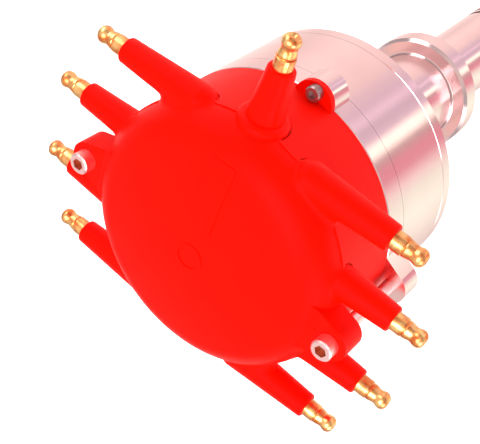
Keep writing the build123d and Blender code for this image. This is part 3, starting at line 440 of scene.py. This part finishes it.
# %% Draw one stud on its lead
def turned_lead(name, axis, mouth):
    axis = Vector(axis)
    along = Vector([abs(v) for v in axis])
    across = Vector((1, 1, 1)) - along
    foot = mouth - seat_depth * mm
    ring = [v.co for v in nodes[name].data.vertices if abs(v.co.dot(axis) - foot) < 0.01 * mm]
    centre = sum(ring, Vector()) / len(ring)
    lead = lead_without_stud(name, axis, foot)
    bpy.ops.mesh.select_non_manifold()
    place, radius = -seat_depth, lead_radius
    for distance, new_radius in stud_steps:
        move = axis * (distance - place) * mm
        size = across * (new_radius / radius) + along
        middle = centre + axis * (distance + seat_depth) * mm
        bpy.ops.mesh.extrude_region_move(TRANSFORM_OT_translate={"value": move})
        bpy.ops.transform.resize(value=size, center_override=middle)
        place, radius = distance, new_radius
    bpy.ops.mesh.edge_face_add()
    bpy.ops.mesh.select_all(action="SELECT")
    bpy.ops.mesh.normals_make_consistent(inside=False)
    bpy.ops.object.mode_set(mode="OBJECT")
    bpy.ops.object.shade_smooth_by_angle(angle=math.radians(35))
    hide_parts(name)
    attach(lead, "housing")
    print(lead.name, len(lead.data.vertices), "vertices")


print("each stud has", len(stud_steps), "rings")

# %% [markdown]
# The plug leads point along X, four each way, and the coil lead points along -Y. The mouth of
# a tower is as far from the shaft as the lead's tip, less the stud's 11.8 mm.

# %% Turn all nine leads
stud_length = 11.8 * mm
plug_leads = 8
for number in range(1, plug_leads + 1):
    name = f"plug_terminal_{number}"
    low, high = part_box(name)
    side = 1 if high[0] > -low[0] else -1
    turned_lead(name, (side, 0, 0), max(high[0], -low[0]) - stud_length)
turned_lead("coil_terminal", (0, -1, 0), -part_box("coil_terminal")[0][1] - stud_length)

# %% [markdown]
# ## Contact spring
# The spring behind the carbon button is pressed by the button and held by the tower, so neither body can
# carry it whole. A copy of it takes its place with its shape baked into world space, and the CAD spring is
# hidden.

# %% Copy the spring in place
spring = bpy.data.objects.new("contact_spring_closing", nodes["contact_spring"].data.copy())
scene.collection.objects.link(spring)
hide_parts("contact_spring")
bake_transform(spring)

# %% [markdown]
# ## Camera
# The camera looks down on the cap with the stem running away to the upper right, so it is
# rolled well over. Its place and its own right and up directions are given, and the third
# axis follows from them.

# %% Camera
eye = Vector((-0.10897, -0.23640, 0.38052))
right = Vector((-0.7635, -0.2572, -0.5924)).normalized()
up = Vector((0.5694, -0.7008, -0.4297))
back = right.cross(up).normalized()
up = back.cross(right)
lens = bpy.data.cameras.new("studio_camera")
lens.lens = 75.75
lens.sensor_width = 36.0
camera = bpy.data.objects.new("studio_camera", lens)
camera.matrix_world = Matrix.Translation(eye) @ Matrix((right, up, back)).transposed().to_4x4()
scene.collection.objects.link(camera)
scene.camera = camera
scene.view_settings.view_transform = "Standard"
print("camera looks along", [round(v, 3) for v in -back])

# %% [markdown]
# ## Floor
# Small products are shot on a light table: a pale sheet that glows a little, so that it stays
# white under the part and takes no hard shadow. The floor lies just under the shaft's foot.

# %% Light table
table_size = 40.0
table_gap = 0.3 * mm
sheet = empty_finish("light_table_sheet")
glow = add(sheet, "BsdfPrincipled", {}, {
    "Base Color": colour("F4F4F4"), "Roughness": 0.9, "Specular IOR Level": 0.1,
    "Emission Color": colour("FFFFFF"), "Emission Strength": 0.55})
add(sheet, "OutputMaterial", links={"Surface": glow.outputs["BSDF"]})
bpy.ops.object.select_all(action="DESELECT")
bpy.ops.mesh.primitive_plane_add(size=table_size, location=(0, 0, cad_low[2] - table_gap))
floor = bpy.context.object
floor.name = "light_table"
floor.data.materials.append(sheet)
print("light table at", round(floor.location.z, 4))

# %% [markdown]
# ## Lights
# A large softbox overhead lights everything evenly, and two smaller ones from the sides model
# the towers. Each is aimed by turning its -Z axis towards the cap.

# %% Softboxes
def softbox(name, place, size, watts, aim=(0, 0, 0.1)):
    data = bpy.data.lights.new(name, "AREA")
    data.shape = "RECTANGLE"
    data.size, data.size_y = size
    data.energy = watts
    lamp = bpy.data.objects.new(name, data)
    lamp.location = place
    lamp.rotation_euler = (Vector(aim) - Vector(place)).to_track_quat("-Z", "Y").to_euler()
    lamp.visible_camera = False
    scene.collection.objects.link(lamp)
    print(name, watts, "W")


softbox("overhead_softbox", (-0.3, -0.2, 1.8), (1.2, 1.2), 30)
softbox("side_softbox", (-1.2, 0.5, 0.8), (0.8, 0.8), 9)
softbox("low_softbox", (0.9, -1.0, 0.5), (0.6, 0.9), 7)

# %% [markdown]
# The air of the studio is an even, weak white, which fills what the softboxes leave dark.

# %% Even fill
world = bpy.data.worlds.new("studio_air")
world.use_nodes = True
world.node_tree.nodes["Background"].inputs["Color"].default_value = colour("FFFFFF")
world.node_tree.nodes["Background"].inputs["Strength"].default_value = 0.42
scene.world = world
print("fill", world.node_tree.nodes["Background"].inputs["Strength"].default_value)

# %% [markdown]
# ## A fan of tinted cards
# Bright metal shows only what stands round it. In a product studio, cards are laid round a
# turned part, just out of view, to draw the light and dark bands along it. Here they are one
# disc on the table that only reflections see. Each card has a bearing from the shaft in
# degrees, a tint and a brightness. White and cream cards draw the bright streaks, peach and
# lilac ones warm and cool the broad parts, and the rose card stands for the red cap's own
# reflection.

# %% Bearing, tint and brightness of each card
cream, peach, lilac, rose, pale = "FFF8E6", "FFE9E2", "F0DBE8", "FFAEBC", "F4FFEA"
cards = [
    (-180, pale, 1.18), (-170, peach, 1.1), (-159, rose, 0.9), (-150, rose, 0.9), (-141, peach, 0.6),
    (-136, cream, 1.8), (-130, cream, 1.8), (-126, lilac, 1.0), (-116, lilac, 0.87), (-109, lilac, 1.25),
    (-102, lilac, 0.95), (-80, peach, 1.1), (-45, peach, 1.25), (-12, peach, 1.0), (25, peach, 1.3),
    (50, cream, 1.35), (110, peach, 0.9), (160, pale, 1.36), (180, pale, 1.18),
]
brightest = max(value for angle, tint, value in cards)
print(len(cards) - 1, "cards, the brightest", brightest)

# %% [markdown]
# A radial gradient turns the bearing into a number from 0 to 1, and a colour ramp with a stop
# for each card turns that into light. The disc is hidden from the camera and from matt surfaces.

# %% Lay the fan
fan_radius = 1.2
fan_lift = 1 * mm
fan = empty_finish("fan_of_cards")
place = add(fan, "TexCoord").outputs["Object"]
bearing = add(fan, "TexGradient", {"gradient_type": "RADIAL"}, {}, {"Vector": place})
ramp = add(fan, "ValToRGB", {}, {}, {"Fac": bearing.outputs["Fac"]})
stops = ramp.color_ramp.elements
for angle, tint, value in cards[1:-1]:
    stops.new(angle / 360 + 0.5)
for stop, (angle, tint, value) in zip(stops, cards):
    stop.color = [channel * value / brightest for channel in colour(tint)]
glow = add(fan, "Emission", {}, {"Strength": brightest}, {"Color": ramp.outputs["Color"]})
add(fan, "OutputMaterial", links={"Surface": glow.outputs["Emission"]})
bpy.ops.object.select_all(action="DESELECT")
bpy.ops.mesh.primitive_circle_add(
    vertices=96, radius=fan_radius, fill_type="NGON", location=(0, 0, cad_low[2] + fan_lift))
disc = bpy.context.object
disc.name = "fan_of_cards"
disc.data.materials.append(fan)
disc.visible_camera = disc.visible_diffuse = disc.visible_shadow = False
print("fan of cards", disc.dimensions[0], "m across")

# %% [markdown]
# A white ceiling card closes the studio above the softboxes. Like the fan it is seen only by
# glossy rays: it fills the bevels, the screw heads and the upper side of the brass, and leaves
# the light on matt surfaces alone.

# %% Ceiling card
ceiling_size, ceiling_z = 8.0, 2.3
ceiling = empty_finish("ceiling_card")
glow = add(ceiling, "Emission", {}, {"Color": colour("FFF3EA"), "Strength": 0.85})
add(ceiling, "OutputMaterial", links={"Surface": glow.outputs["Emission"]})
bpy.ops.object.select_all(action="DESELECT")
bpy.ops.mesh.primitive_plane_add(size=ceiling_size, location=(0, 0, ceiling_z))
card = bpy.context.object
card.name = "ceiling_card"
card.data.materials.append(ceiling)
card.visible_camera = card.visible_diffuse = card.visible_shadow = False
print("ceiling card at", round(card.location.z, 2), "m")
